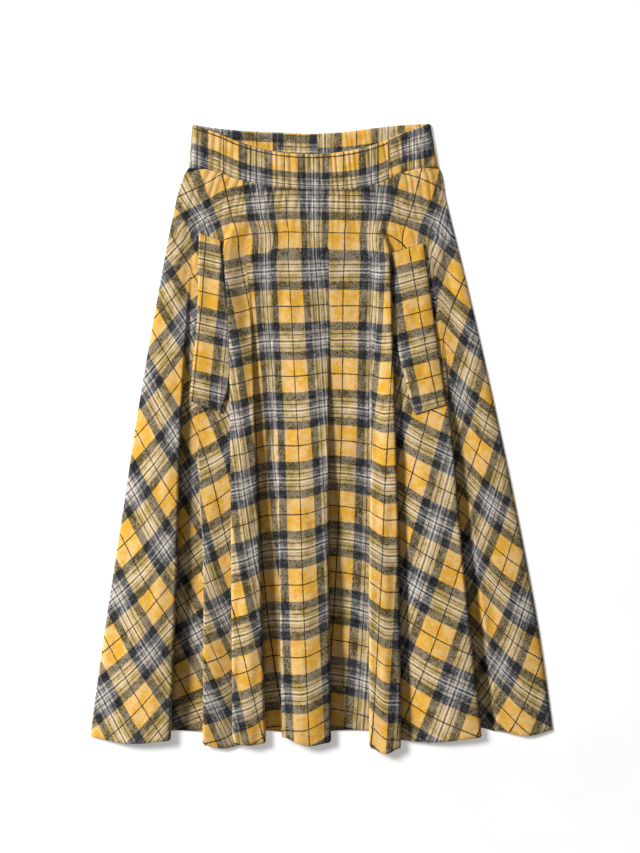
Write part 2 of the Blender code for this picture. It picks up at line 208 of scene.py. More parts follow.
flannel = {
    "repeat": 0.090,  # metres of one check repeat
    "yellow": (0.650, 0.336, 0.026),
    "yellowPale": (0.690, 0.440, 0.168),
    "navy": (0.0050, 0.0058, 0.0084),
    "navyWorn": (0.082, 0.081, 0.085),
    "grey": (0.184, 0.172, 0.160),
    "greyWarm": (0.415, 0.355, 0.290),
    "line": (0.004, 0.004, 0.005),
    "lineWorn": (0.012, 0.011, 0.010),
    "white": (0.64, 0.63, 0.60),
    "core": (0.035, 0.030, 0.026),
    "lineHalf": 0.0070,  # shares of a repeat, from the middle of the yellow
    "yellowHalf": 0.231,
    "navyEnd": 0.355,
    "thinLine": 0.406,
    "thinLineHalf": 0.0045,
    "whiteLine": 0.4725,
    "whiteLineHalf": 0.0055,
    "coreHalf": 0.0065,
    "blur": 0.004,
    "lineCover": 0.60,  # how far a dark line hides the threads that cross it
    "whiteCover": 0.34,
    "coreCover": 0.30,
    "bothDim": 0.54,  # how much darker the cloth is where both yarns are navy
    "wander": 0.012,  # slow drift of the threads, in repeats
    "fray": 0.030,  # brushed edges of the stripes, in repeats
    "paleHeather": (("patch", 1.10), ("cloud", 0.85), ("fleck", 0.65)),  # what wears the pale yarn
    "darkHeather": (("patch", 0.65), ("cloud", 0.70), ("fleck", 1.25)),
    "heatherStreak": 0.60,
    "heatherRange": 0.11,
    "shade": 0.50,  # how far the finest specks lighten and darken
    "hueDrift": 0.06,  # golden to peach, as a turn of the colour
    "nap": 900.0,  # changes of the hairs in a metre
    "napDetail": 3.0,
    "napDepth": 0.0005,
    "napStrength": 0.6,
    "twill": 22.0,  # of the slanting ribs, in a repeat
    "twillBend": 2.0,
    "twillAngle": 45,
    "twillShare": 0.25,
    "roughness": 0.92,
    "specular": 0.2,
    "sheen": 0.10,
    "sheenRoughness": 0.6,
    "noiseSlide": 0.7,  # a noise starts this far down, for each step that it starts across
}
# each noise: its changes across and down a repeat, its detail and roughness, and where it starts
noiseRow = namedtuple("noiseRow", "across down detail roughness start")
flannelNoise = {
    "patch": noiseRow(3.2, 3.2, 2.0, 0.6, 3.1),
    "cloud": noiseRow(10.0, 10.0, 2.0, 0.6, 5.4),
    "fleck": noiseRow(38.0, 38.0, 2.0, 0.6, 7.7),
    "speck": noiseRow(150.0, 150.0, 2.0, 0.7, 2.2),
    "hue": noiseRow(9.0, 9.0, 3.0, 0.6, 7.7),
    "warpStreaks": noiseRow(80.0, 4.0, 2.0, 0.6, 1.3),
    "weftStreaks": noiseRow(4.0, 80.0, 2.0, 0.6, 5.9),
    "warpWander": noiseRow(6.0, 6.0, 2.0, 0.5, 9.0),
    "weftWander": noiseRow(6.0, 6.0, 2.0, 0.5, -9.0),
    "warpFray": noiseRow(60.0, 60.0, 2.0, 0.7, 6.0),
    "weftFray": noiseRow(60.0, 60.0, 2.0, 0.7, -6.0),
}


def feed(tree, node, inputs):
    # an input given as a socket is linked, and any other is its value
    for key, value in inputs.items():
        if isinstance(value, bpy.types.NodeSocket):
            tree.links.new(value, node.inputs[key])
        else:
            node.inputs[key].default_value = value
    return node


def addNode(tree, kind, inputs=None, **settings):
    node = tree.nodes.new(kind)
    for key, value in settings.items():
        setattr(node, key, value)
    return feed(tree, node, inputs or {})


def addBump(tree, height, strength, depth):
    inputs = {"Height": height, "Strength": strength, "Distance": depth}
    return addNode(tree, "ShaderNodeBump", inputs).outputs["Normal"]


def newMaterial(name, roughness):
    material = bpy.data.materials.new(name)
    material.use_nodes = True
    tree = material.node_tree
    return material, tree, feed(tree, tree.nodes["Principled BSDF"], {"Roughness": roughness})


def checkRamp(tree, position, worn):
    # colour of a yarn by its place, from 0 in the middle of the yellow to 1 between the white lines;
    # its alpha is how far it hides the threads that cross it
    f = flannel
    yellow = (*(f["yellowPale"] if worn else f["yellow"]), 0.0)
    navy = (*(f["navyWorn"] if worn else f["navy"]), 0.0)
    grey = (*(f["greyWarm"] if worn else f["grey"]), 0.0)
    line = (*(f["lineWorn"] if worn else f["line"]), f["lineCover"])
    white = (*f["white"], f["whiteCover"])
    core = (*f["core"], f["coreCover"])
    stops = [(0.0, line), (f["lineHalf"], line), (f["lineHalf"] + f["blur"], yellow)]
    stops += [(f["yellowHalf"] - f["blur"], yellow), (f["yellowHalf"] + f["blur"], navy)]
    stops += [(f["navyEnd"] - f["blur"], navy), (f["navyEnd"] + f["blur"], grey)]
    for place, half, colour in (
        (f["thinLine"], f["thinLineHalf"], line),
        (f["whiteLine"], f["whiteLineHalf"], white),
    ):
        stops += [(place - half - f["blur"], grey), (place - half, colour)]
        stops += [(place + half, colour), (place + half + f["blur"], grey)]
    stops += [(0.5 - f["coreHalf"] - f["blur"], grey), (0.5 - f["coreHalf"], core)]
    ramp = addNode(tree, "ShaderNodeValToRGB", {"Fac": position})
    elements = ramp.color_ramp.elements
    while len(elements) < len(stops):
        elements.new(0.5)
    for element, (place, colour) in zip(elements, stops):
        element.position = place * 2
        element.color = colour
    return ramp.outputs


def makeFlannel(name, seed):
    f = flannel
    material, tree, shader = newMaterial(name, f["roughness"])
    grain = addNode(tree, "ShaderNodeUVMap", uv_map="grain").outputs["UV"]
    apart = addNode(tree, "ShaderNodeSeparateXYZ", {0: grain}).outputs

    def noise(which):
        # noise by the cloth's own threads
        row = flannelNoise[which]
        start = (row.start, row.start * f["noiseSlide"], seed)
        placing = {"Vector": grain, "Scale": (row.across, row.down, 1.0), "Location": start}
        place = addNode(tree, "ShaderNodeMapping", placing).outputs["Vector"]
        inputs = {"Vector": place, "Scale": 1.0, "Detail": row.detail, "Roughness": row.roughness}
        return addNode(tree, "ShaderNodeTexNoise", inputs).outputs["Fac"]

    def maths(operation, *values):
        return addNode(tree, "ShaderNodeMath", dict(enumerate(values)), operation=operation).outputs[0]

    def blend(share, first, second, kind="MIX"):
        inputs = {"Factor": share, 6: first, 7: second}
        return addNode(tree, "ShaderNodeMix", inputs, data_type="RGBA", blend_type=kind).outputs[2]

    def swing(which, size):
        # a noise to both sides of zero
        return maths("MULTIPLY", maths("SUBTRACT", noise(which), 0.5), size)

    def weighed(parts):
        first, second, third = (maths("MULTIPLY", layers[which], weight) for which, weight in parts)
        return maths("ADD", maths("ADD", first, second), third)

    layers = {which: noise(which) for which, _ in f["paleHeather"]}
    paleWorn, darkWorn = weighed(f["paleHeather"]), weighed(f["darkHeather"])
    average = sum(weight for _, weight in f["paleHeather"]) / 2 + f["heatherStreak"] / 2

    def makeYarn(axis, yarn):
        # the yarn's colour, how far it hides the other, and whether it is navy
        drifted = maths("ADD", apart[axis], swing(yarn + "Wander", f["wander"]))
        place = maths("ADD", drifted, swing(yarn + "Fray", f["fray"]))
        folded = maths("MULTIPLY", maths("PINGPONG", place, 0.5), 2.0)
        dark = maths("COMPARE", folded, f["yellowHalf"] + f["navyEnd"], f["navyEnd"] - f["yellowHalf"])
        own = maths("ADD", paleWorn, maths("MULTIPLY", maths("SUBTRACT", darkWorn, paleWorn), dark))
        streaked = maths("ADD", own, maths("MULTIPLY", noise(yarn + "Streaks"), f["heatherStreak"]))
        low, high = average - f["heatherRange"], average + f["heatherRange"]
        worn = addNode(tree, "ShaderNodeMapRange", {"Value": streaked, "From Min": low, "From Max": high})
        fresh, faded = checkRamp(tree, folded, False), checkRamp(tree, folded, True)
        return blend(worn.outputs["Result"], fresh["Color"], faded["Color"]), fresh["Alpha"], dark

    warp, warpCover, warpDark = makeYarn("X", "warp")
    weft, weftCover, weftDark = makeYarn("Y", "weft")
    # warp and weft show half and half, which the eye reads as the root of their product
    woven = addNode(tree, "ShaderNodeGamma", {"Color": blend(1.0, warp, weft, "MULTIPLY"), "Gamma": 0.5})
    shown = blend(weftCover, blend(warpCover, woven.outputs["Color"], warp), weft)
    value = maths("ADD", maths("MULTIPLY", noise("speck"), f["shade"]), 1.0 - f["shade"] / 2)
    dim = maths("SUBTRACT", 1.0, maths("MULTIPLY", maths("MULTIPLY", warpDark, weftDark), f["bothDim"]))
    hue = maths("ADD", swing("hue", f["hueDrift"]), 0.5)
    toning = {"Color": shown, "Value": maths("MULTIPLY", value, dim), "Hue": hue}
    toned = addNode(tree, "ShaderNodeHueSaturation", toning).outputs["Color"]
    # nap and twill
    where = addNode(tree, "ShaderNodeTexCoord").outputs["Object"]
    napping = {"Vector": where, "Scale": f["nap"], "Detail": f["napDetail"]}
    nap = addNode(tree, "ShaderNodeTexNoise", napping).outputs["Fac"]
    turning = {"Vector": grain, "Rotation": (0.0, 0.0, math.radians(f["twillAngle"]))}
    turned = addNode(tree, "ShaderNodeMapping", turning).outputs["Vector"]
    ribbing = {"Vector": turned, "Scale": f["twill"], "Distortion": f["twillBend"]}
    twill = addNode(tree, "ShaderNodeTexWave", ribbing).outputs["Fac"]
    height = maths("ADD", maths("ADD", nap, maths("MULTIPLY", twill, f["twillShare"])), paleWorn)
    normal = addBump(tree, height, f["napStrength"], f["napDepth"])
    sheen = {"Sheen Weight": f["sheen"], "Sheen Roughness": f["sheenRoughness"]}
    gloss = {"Specular IOR Level": f["specular"]}
    feed(tree, shader, {"Base Color": toned, "Normal": normal, **sheen, **gloss})
    return material


plain = {"mottle": 0.8, "bump": 0.3}


def makePlain(name, colour, roughness, grainScale, depth, glow=0.0):
    # an even finish, mottled and finely uneven
    material, tree, shader = newMaterial(name, roughness)
    where = addNode(tree, "ShaderNodeTexCoord").outputs["Object"]
    noise = addNode(tree, "ShaderNodeTexNoise", {"Vector": where, "Scale": grainScale}).outputs["Fac"]
    mottled = (*(c * plain["mottle"] for c in colour), 1.0)
    tinting = {"Factor": noise, 6: (*colour, 1.0), 7: mottled}
    tint = addNode(tree, "ShaderNodeMix", tinting, data_type="RGBA").outputs[2]
    normal = addBump(tree, noise, plain["bump"], depth)
    glowing = {"Emission Color": (1.0, 1.0, 1.0, 1.0), "Emission Strength": glow}
    feed(tree, shader, {"Base Color": tint, "Normal": normal, **glowing})
    return material


flannels = {
    "front": makeFlannel("frontFlannel", 0.0),
    "back": makeFlannel("backFlannel", 11.0),
    "band": makeFlannel("bandFlannel", 23.0),
    "welt": makeFlannel("weltFlannel", 37.0),
}
print("flannel made")


# gathers, the same in the waistband and in the cloth eased into it
gathers = {
    "perRun": 36,
    "height": 0.0012,
    "easeHeight": 0.0011,
    "easeReach": 0.13,
    "longReach": 0.34,  # share of the length down which the strongest of them run
    "uneven": 0.30,  # how far a gather strays from its even place, in gathers
    "smallest": 0.45,  # height of the weakest, as a share of the strongest
    "roundShare": 0.25,  # how round a crest is: the rest of it is broad, with a narrow trough
    "troughWidth": 0.02,
    "seed": 5,
}
gatherNoise = np.random.default_rng(gathers["seed"])
gatherKnots = np.linspace(0, 1, gathers["perRun"] + 1)
gatherShift = gatherNoise.uniform(-1, 1, len(gatherKnots)) * gathers["uneven"]
gatherShift[[0, -1]] = 0
gatherSize = gatherNoise.uniform(gathers["smallest"], 1.0, len(gatherKnots))
gatherLength = gatherNoise.uniform(0.0, 1.0, len(gatherKnots)) ** 2


def gatherWave(across):
    # from 0 in a trough to 1 on a crest
    placed = gathers["perRun"] * across + curve(gatherKnots, gatherShift, across)
    wave = (1 - np.cos(2 * math.pi * placed)) / 2
    crest = mix(np.sqrt(wave + gathers["troughWidth"]), wave, gathers["roundShare"])
    return crest * curve(gatherKnots, gatherSize, across)


# soft unevenness of the cloth: random waves, never below zero
ripples = {"count": 26, "shortest": 0.018, "longest": 0.080, "turns": 0.35, "even": 2.2, "seed": 12}
rippleNoise = np.random.default_rng(ripples["seed"])
rippleWaves = [
    (
        2 * math.pi / rippleNoise.uniform(ripples["shortest"], ripples["longest"]),
        rippleNoise.normal(0.0, ripples["turns"]),
        rippleNoise.uniform(0, 2 * math.pi),
    )
    for _ in range(ripples["count"])
]


def ripple(x, y):
    # 0 to about 1, with crests that run mostly down the skirt
    total = 0.0
    for k, turn, phase in rippleWaves:
        total = total + np.sin(k * (x * math.cos(turn) + y * math.sin(turn)) + phase)
    return np.clip(0.5 + total / (ripples["even"] * math.sqrt(ripples["count"])), 0.0, 1.0)


front = {
    "foldRestWidth": 0.0018,
    "foldRestRadius": 0.35,
    "foldSpread": 1.4,
    "foldHemTurn": 0.6,
    "sideRoll": 0.010,
    "sideRollHeight": 0.0045,
    "sideRollWaist": 0.3,  # share of that height at the waist
    "rows": 190,
    "rowCrowding": 1.15,  # rows lie closer at the waist
    "sideCrowding": 1.3,  # and columns at the sides
    "inwardReach": 0.06,  # share of the width over which the cloth comes up from the side edges
    "seamRise": 0.0004,
    "seamReach": 0.07,  # share of the length over which it comes down from the waistband
    "rippleHeight": 0.0014,
    "rippleStart": 0.15,
    "grainShows": 0.22,  # share of a deep roll that shows
    "grainTurn": 1.4,  # radians past which a roll counts as deep
    "grainTurnSpan": 0.8,
    "grainMeets": 0.95,  # share of the roll where it has come to the next strip's check
    "grainNarrowest": 0.004,  # a strip's own slope is read over no less than this
    "grainSteepest": 12,
    "grainStart": 0.05,  # share of the length where the check leaves the waist's own grain
    "grainBlend": 0.11,
    "topHigh": 0.3364,
    "topLow": 0.2584,
    "flat": (1.06, 0.745),
    "area": 0.56,
}
# the folds' edges at five shares of the length, then the roll and the cloth tucked behind it at the hem
foldShares = (0.10, 0.25, 0.45, 0.70, 1.00)
foldRow = namedtuple(
    "foldRow", "faces begins at10 at25 at45 at70 atHem radius turn tuck under quickness columns"
)
foldRows = [
    foldRow("right", 0.14, -0.1680, -0.1758, -0.1842, -0.1888, -0.1966, 0.0038, 160, 0.010, 0.000, 2.2, 24),
    foldRow("left", 0.44, -0.1510, -0.1524, -0.1600, -0.1537, -0.1543, 0.0021, 130, 0.005, 0.000, 2.2, 20),
    foldRow("left", 0.00, -0.1296, -0.1212, -0.1186, -0.1173, -0.1157, 0.0030, 165, 0.009, 0.002, 6.0, 24),
    foldRow("right", 0.12, -0.1030, -0.0926, -0.0874, -0.0802, -0.0737, 0.0034, 160, 0.008, 0.000, 2.2, 24),
    foldRow("left", 0.34, -0.0679, -0.0627, -0.0588, -0.0549, -0.0516, 0.0032, 150, 0.008, 0.000, 2.2, 24),
    foldRow("right", 0.20, 0.0075, 0.0075, 0.0075, 0.0082, 0.0108, 0.0032, 150, 0.008, 0.000, 2.2, 24),
    foldRow("left", 0.30, 0.0621, 0.0634, 0.0647, 0.0615, 0.0618, 0.0034, 160, 0.008, 0.000, 2.2, 24),
    foldRow("right", 0.00, 0.0868, 0.0901, 0.0946, 0.0992, 0.1011, 0.0030, 165, 0.009, 0.002, 6.0, 24),
    foldRow("right", 0.26, 0.1346, 0.1505, 0.1662, 0.1825, 0.2058, 0.0030, 160, 0.010, 0.000, 2.2, 24),
    foldRow("left", 0.45, 0.1530, 0.1665, 0.1820, 0.2012, 0.2279, 0.0044, 38, 0.002, 0.000, 2.2, 20),
]
stripRow = namedtuple("stripRow", "hemLeft hemMiddle hemRight crown columns")
stripRows = [
    stripRow(-0.3857, -0.3942, -0.3903, 0.0030, 30),
    stripRow(-0.3786, -0.3779, -0.3799, 0.0000, 8),
    stripRow(-0.3968, -0.4007, -0.3955, 0.0010, 12),
    stripRow(-0.3929, -0.3961, -0.3942, 0.0024, 12),
    stripRow(-0.3799, -0.3786, -0.3825, 0.0000, 8),
    stripRow(-0.3864, -0.3968, -0.3929, 0.0034, 20),
    stripRow(-0.3799, -0.3773, -0.3799, 0.0000, 12),
    stripRow(-0.4007, -0.4072, -0.4007, 0.0024, 12),
    stripRow(-0.3890, -0.3929, -0.3864, 0.0020, 26),
    stripRow(-0.3760, -0.3747, -0.3786, 0.0000, 8),
    stripRow(-0.3786, -0.3851, -0.3773, 0.0020, 20),
]

# A strip has a row of p and q at its left end, then p and q at its right end, for each of these
# shares of the length
grainShares = (0.12, 0.25, 0.45, 0.70, 1.00)
stripGrains = [
    [
        (-2.04, -3.70, -1.75, -3.43), (-2.80, -3.07, -2.42, -2.68), (-3.94, -2.13, -3.40, -1.57),
        (-5.31, -0.86, -4.55, -0.13), (-6.97, 0.82, -5.98, 1.70),
    ],
    [
        (-1.71, -3.39, -1.55, -3.24), (-2.35, -2.62, -2.18, -2.50), (-3.17, -1.27, -2.95, -1.09),
        (-4.36, 0.33, -3.93, 0.70), (-5.55, 2.56, -5.02, 2.80),
    ],
    [
        (-1.51, -3.20, -1.26, -2.97), (-2.12, -2.45, -1.85, -2.25), (-2.97, -0.97, -2.50, -0.66),
        (-3.56, 0.89, -2.95, 1.19), (-5.00, 3.02, -4.30, 3.22),
    ],
    [
        (-1.18, -2.90, -0.92, -2.82), (-1.32, -1.86, -1.04, -1.78), (-1.58, -0.29, -1.23, -0.19),
        (-1.87, 1.66, -1.50, 1.79), (-2.47, 3.90, -2.04, 4.07),
    ],
    [
        (-0.87, -2.79, -0.43, -2.76), (-0.83, -1.78, -0.42, -1.74), (-1.00, -0.23, -0.55, -0.17),
        (-1.12, 1.71, -0.70, 1.78), (-1.26, 4.01, -0.98, 4.10),
    ],
    [
        (-0.32, -2.73, 0.74, -2.70), (-0.33, -1.72, 0.64, -1.66), (-0.35, -0.15, 0.49, -0.03),
        (-0.33, 1.83, 0.38, 2.00), (-0.36, 4.10, 0.27, 4.32),
    ],
    [
        (0.80, -2.74, 1.34, -2.73), (0.82, -1.72, 1.39, -1.73), (0.83, -0.10, 1.42, -0.16),
        (0.85, 1.97, 1.51, 1.85), (0.96, 4.35, 1.71, 4.15),
    ],
    [
        (1.38, -2.73, 1.82, -2.76), (1.50, -1.68, 1.94, -1.72), (1.80, -0.07, 2.08, -0.13),
        (1.86, 1.95, 2.24, 1.83), (2.03, 4.28, 2.42, 4.12),
    ],
    [
        (1.82, -2.89, 2.39, -3.18), (2.10, -1.89, 2.81, -2.29), (2.54, -0.34, 3.34, -0.85),
        (3.12, 1.55, 4.02, 0.95), (3.91, 3.60, 5.02, 3.01),
    ],
    [
        (2.42, -3.22, 2.52, -3.36), (2.85, -2.35, 2.96, -2.48), (3.49, -1.11, 3.61, -1.19),
        (4.34, 0.67, 4.54, 0.50), (5.55, 2.70, 5.80, 2.42),
    ],
    [
        (2.55, -3.40, 2.66, -3.55), (2.99, -2.53, 3.24, -2.80), (3.64, -1.22, 4.16, -1.64),
        (4.62, 0.41, 5.31, -0.13), (5.90, 2.31, 6.51, 1.78),
    ],
]
# at the waist the check follows the cloth's own place: where each p line crosses topHigh and topLow
topLine = namedtuple("topLine", "p high low")
topLines = [
    topLine(-2.000, -0.2369, -0.1927),
    topLine(-1.500, -0.1862, -0.1446),
    topLine(-1.000, -0.1283, -0.1114),
    topLine(-0.769, -0.1036, -0.0932),
    topLine(-0.500, -0.0848, -0.0744),
    topLine(-0.231, -0.0653, -0.0581),
    topLine(0.000, -0.0477, -0.0458),
    topLine(0.231, -0.0315, -0.0269),
    topLine(0.500, -0.0113, -0.0107),
    topLine(0.769, 0.0088, 0.0088),
    topLine(1.000, 0.0303, 0.0307),
    topLine(1.231, 0.0504, 0.0504),
    topLine(1.355, 0.0621, 0.0595),
    topLine(1.500, 0.0738, 0.0660),
    topLine(1.645, 0.0855, 0.0751),
    topLine(1.769, 0.1011, 0.0816),
    topLine(2.000, 0.1258, 0.1070),
    topLine(2.231, 0.1486, 0.1284),
    topLine(2.500, 0.1687, 0.1505),
    topLine(2.769, 0.1921, 0.1778),
    topLine(3.000, 0.2142, 0.1973),
]
# and where the lines q = -4 and q = -3 cross each x
topWeft = namedtuple("topWeft", "x four three")
topWefts = [
    topWeft(-0.2109, 0.3039, 0.1635),
    topWeft(-0.1849, 0.3156, 0.1973),
    topWeft(-0.1602, 0.3267, 0.2285),
    topWeft(-0.1459, 0.3345, 0.2415),
    topWeft(-0.1303, 0.3436, 0.2513),
    topWeft(-0.1160, 0.3481, 0.2558),
    topWeft(-0.0939, 0.3514, 0.2597),
    topWeft(-0.0471, 0.3533, 0.2643),
    topWeft(0.0075, 0.3533, 0.2630),
    topWeft(0.0660, 0.3520, 0.2610),
    topWeft(0.0855, 0.3501, 0.2604),
    topWeft(0.1024, 0.3455, 0.2526),
    topWeft(0.1258, 0.3390, 0.2409),
    topWeft(0.1492, 0.3286, 0.2272),
    topWeft(0.1596, 0.3208, 0.2194),
    topWeft(0.1882, 0.3039, 0.1960),
]


def topGrain(x, y):
    down = (front["topHigh"] - y) / (front["topHigh"] - front["topLow"])
    p = np.full_like(x, topLines[0].p)
    for a, b in zip(topLines, topLines[1:]):
        xa, xb = mix(a.high, a.low, down), mix(b.high, b.low, down)
        p += np.clip((x - xa) / (xb - xa), 0, 1) * (b.p - a.p)
    four, three = (straight(topWefts, "x", which, x) for which in ("four", "three"))
    return np.stack([p, -3 + (three - y) / (four - three)], -1)


def foldState(fold, share):
    # radius, turn, tuck, height and sideways travel
    grown = np.clip((share - fold.begins) / (1 - fold.begins), 0, 1)
    radius = fold.radius * mix(front["foldRestRadius"], 1, grown)
    turn = math.radians(fold.turn) * (1 - (1 - grown) ** fold.quickness)
    tuck = mix(front["foldRestWidth"], fold.tuck, grown)
    height = 2 * radius * (1 - np.cos(turn)) + tuck * np.sin(turn)
    travel = (2 * radius * np.sin(turn) + tuck * np.cos(turn)) * front["foldSpread"]
    return radius, turn, tuck, height, travel


def foldEdge(fold, share):
    return curve(foldShares, [fold.at10, fold.at25, fold.at45, fold.at70, fold.atHem], share)


def foldEnds(fold, share):
    # (x, z) of the roll's upper and of its lower end
    radius, turn, _, height, travel = foldState(fold, share)
    facing = 1 if fold.faces == "right" else -1
    inset = radius * front["foldSpread"] * np.sin(np.minimum(turn, math.pi / 2))
    upper = foldEdge(fold, share) - facing * inset
    level = floorLevel + fold.under * smooth(share)
    return (upper, level + height), (upper + facing * travel, level)


def foldPoint(fold, share, along):
    # a point of the roll, from its upper end at 0 to its lower end at 1
    radius, turn, tuck, _, _ = foldState(fold, share)
    arc = radius * turn
    way = along * (2 * arc + tuck)
    first = np.minimum(way, arc)
    straight = np.clip(way - arc, 0, tuck)
    second = np.maximum(way - arc - tuck, 0)
    angle, turned = first / radius, second / radius
    out = radius * np.sin(angle) + straight * np.cos(turn)
    out += radius * (np.sin(turn) - np.sin(turn - turned))
    down = radius * (1 - np.cos(angle)) + straight * np.sin(turn)
    down += radius * (np.cos(turn - turned) - np.cos(turn))
    facing = 1 if fold.faces == "right" else -1
    (x, z), _ = foldEnds(fold, share)
    return x + facing * out * front["foldSpread"], z - down


def stripEnds(index, share):
    if index == 0:
        left = (side(share, "left"), np.full_like(share, floorLevel))
    else:
        upper, lower = foldEnds(foldRows[index - 1], share)
        left = lower if foldRows[index - 1].faces == "right" else upper
    if index == len(foldRows):
        return left, (side(share, "right"), np.full_like(share, floorLevel))
    upper, lower = foldEnds(foldRows[index], share)
    return left, upper if foldRows[index].faces == "right" else lower


def stripPoint(index, share, along):
    (x0, z0), (x1, z1) = stripEnds(index, share)
    x = mix(x0, x1, along)
    roll = front["sideRollHeight"] * mix(front["sideRollWaist"], 1, share)
    fromSide = np.full_like(share, front["sideRoll"])
    if index == 0:
        z0, fromSide = z0 + roll, x - x0
    if index == len(foldRows):
        z1, fromSide = z1 + roll, x1 - x
    reach = 1 - np.clip(fromSide / front["sideRoll"], 0, 1)
    z = mix(z0, z1, smooth(along)) - roll * (1 - np.sqrt(1 - reach**2))
    return x, z + stripRows[index].crown * share * math.sin(math.pi * along) ** 2


def stripGrain(index, share):
    return [curve(grainShares, values, share) for values in zip(*stripGrains[index])]


def foldGrain(index, share, along):
    # each strip's check runs on round the roll from its own side, and the two meet where nothing shows
    fold = foldRows[index]
    radius, turn, tuck, _, _ = foldState(fold, share)
    length = 2 * radius * turn + tuck
    fromLeft = along if fold.faces == "right" else 1 - along
    runs = []
    for strip, way in ((index, fromLeft * length), (index + 1, (fromLeft - 1) * length)):
        (x0, _), (x1, _) = stripEnds(strip, share)
        ends = stripGrain(strip, share)
        start = ends[2:] if strip == index else ends[:2]
        wide, steepest = np.maximum(x1 - x0, front["grainNarrowest"]), front["grainSteepest"]
        slopes = [np.clip((b - a) / wide, -steepest, steepest) for a, b in zip(ends[:2], ends[2:])]
        runs.append(np.stack([a + slope * way for a, slope in zip(start, slopes)], -1))
    shows = front["grainShows"] * smooth((turn - front["grainTurn"]) / front["grainTurnSpan"])
    met = smooth((along - shows) / (front["grainMeets"] - shows))
    met = met if fold.faces == "right" else 1 - met
    return mix(runs[0], runs[1], met[:, None])


def frontPlaces():
    # every column as (is it a fold, which one, share of the way across it)
    found = []
    for i, strip in enumerate(stripRows):
        spaced = [j / strip.columns for j in range(strip.columns)]
        if i == 0:
            spaced = [s ** front["sideCrowding"] for s in spaced]
        if i == len(foldRows):
            spaced = [1 - (1 - s) ** front["sideCrowding"] for s in spaced]
        found += [(False, i, s) for s in spaced]
        if i < len(foldRows):
            fold = foldRows[i]
            steps = [j / fold.columns for j in range(fold.columns)]
            found += [(True, i, s if fold.faces == "right" else 1 - s) for s in steps]
    return found + [(False, len(foldRows), 1.0)]


def hemLine(isFold, i, along):
    if isFold:
        facingRight = foldRows[i].faces == "right"
        corner = 0 if facingRight else 1 - front["foldHemTurn"]
        past = smooth(((along if facingRight else 1 - along) - corner) / front["foldHemTurn"])
        return mix(stripRows[i].hemRight, stripRows[i + 1].hemLeft, past)
    s = stripRows[i]
    return curve([0.0, 0.5, 1.0], [s.hemLeft, s.hemMiddle, s.hemRight], along)


def frontColumn(place, across, share):
    # the middle of the wall down one column, and the check's place there
    isFold, i, along = place
    if isFold:
        x, z = foldPoint(foldRows[i], share, along)
        grain = foldGrain(i, share, along)
    else:
        x, z = stripPoint(i, share, along)
        pLeft, qLeft, pRight, qRight = stripGrain(i, share)
        grain = np.stack([mix(pLeft, pRight, along), mix(qLeft, qRight, along)], -1)
    folded = smooth(share / gathers["easeReach"])
    even = mix(side(share, "left"), side(share, "right"), across)
    x = mix(even, x, folded)
    z = mix(floorLevel, z, folded)
    inward = smooth(min(across, 1 - across) / front["inwardReach"])
    rise = bandFrontLevel + front["seamRise"] - floorLevel
    z = z + rise * inward * (1 - smooth(share / front["seamReach"]))
    placed = (x - side(share, "left")) / (side(share, "right") - side(share, "left"))
    reach = gathers["easeReach"] + gathers["longReach"] * curve(gatherKnots, gatherLength, placed)
    z = z + gathers["easeHeight"] * inward * (1 - smooth(share / reach)) * gatherWave(placed)
    top = waist(waistX(across), "seam") - cloth["seamGap"] / 2
    y = mix(top, hemLine(isFold, i, along), share)
    z = z + front["rippleHeight"] * ripple(x, y) * smooth(share / front["rippleStart"]) * inward
    blend = smooth((share - front["grainStart"]) / front["grainBlend"])[:, None]
    return np.stack([x, y, z], -1), mix(topGrain(x, y), grain, blend)


def makeFront():
    places = frontPlaces()
    last = len(places) - 1
    share = (np.arange(front["rows"] + 1) / front["rows"]) ** front["rowCrowding"]
    built = [frontColumn(place, c / last, share) for c, place in enumerate(places)]
    middle = np.stack([b[0] for b in built], 1)
    grain = np.stack([b[1] for b in built], 1)
    outer, inner = sidesOf(middle, cloth["wall"])
    return makeWall("frontCloth", outer, inner, grain, flannels["front"], "front")


frontCloth = makeFront()


back = {
    "columns": 60,
    "rows": 60,
    "hemLeft": -0.3840,
    "hemRight": -0.3755,
    "hemRise": 0.0060,
    "hemFullness": 0.7,
    "grainSway": 0.15,  # repeats by which the check leans at the waist
    "swayRate": 4,
    "waistRepeats": 4,  # the check's count down starts this far above its zero line
    "flat": (0.615, 0.745),
    "area": 0.335,
}


def makeBack():
    across, share = gridOf(back["columns"], back["rows"])
    x = mix(side(share, "left"), side(share, "right"), across)
    top = waist(waistX(across), "backSeam") - cloth["seamGap"] / 2
    hemRise = back["hemRise"] * np.sin(math.pi * across) ** back["hemFullness"]
    y = mix(top, mix(back["hemLeft"], back["hemRight"], across) + hemRise, share)
    outer = np.stack([x, y, np.full_like(x, cloth["wall"])], -1)
    inner = np.stack([x, y, np.zeros_like(x)], -1)
    sway = back["grainSway"] * np.sin(x * back["swayRate"]) * (1 - share)
    down = (top - y) / flannel["repeat"] - back["waistRepeats"]
    grain = np.stack([x / flannel["repeat"] + sway, down], -1)
    return makeWall("backCloth", outer, inner, grain, flannels["back"], "back")


backCloth = makeBack()


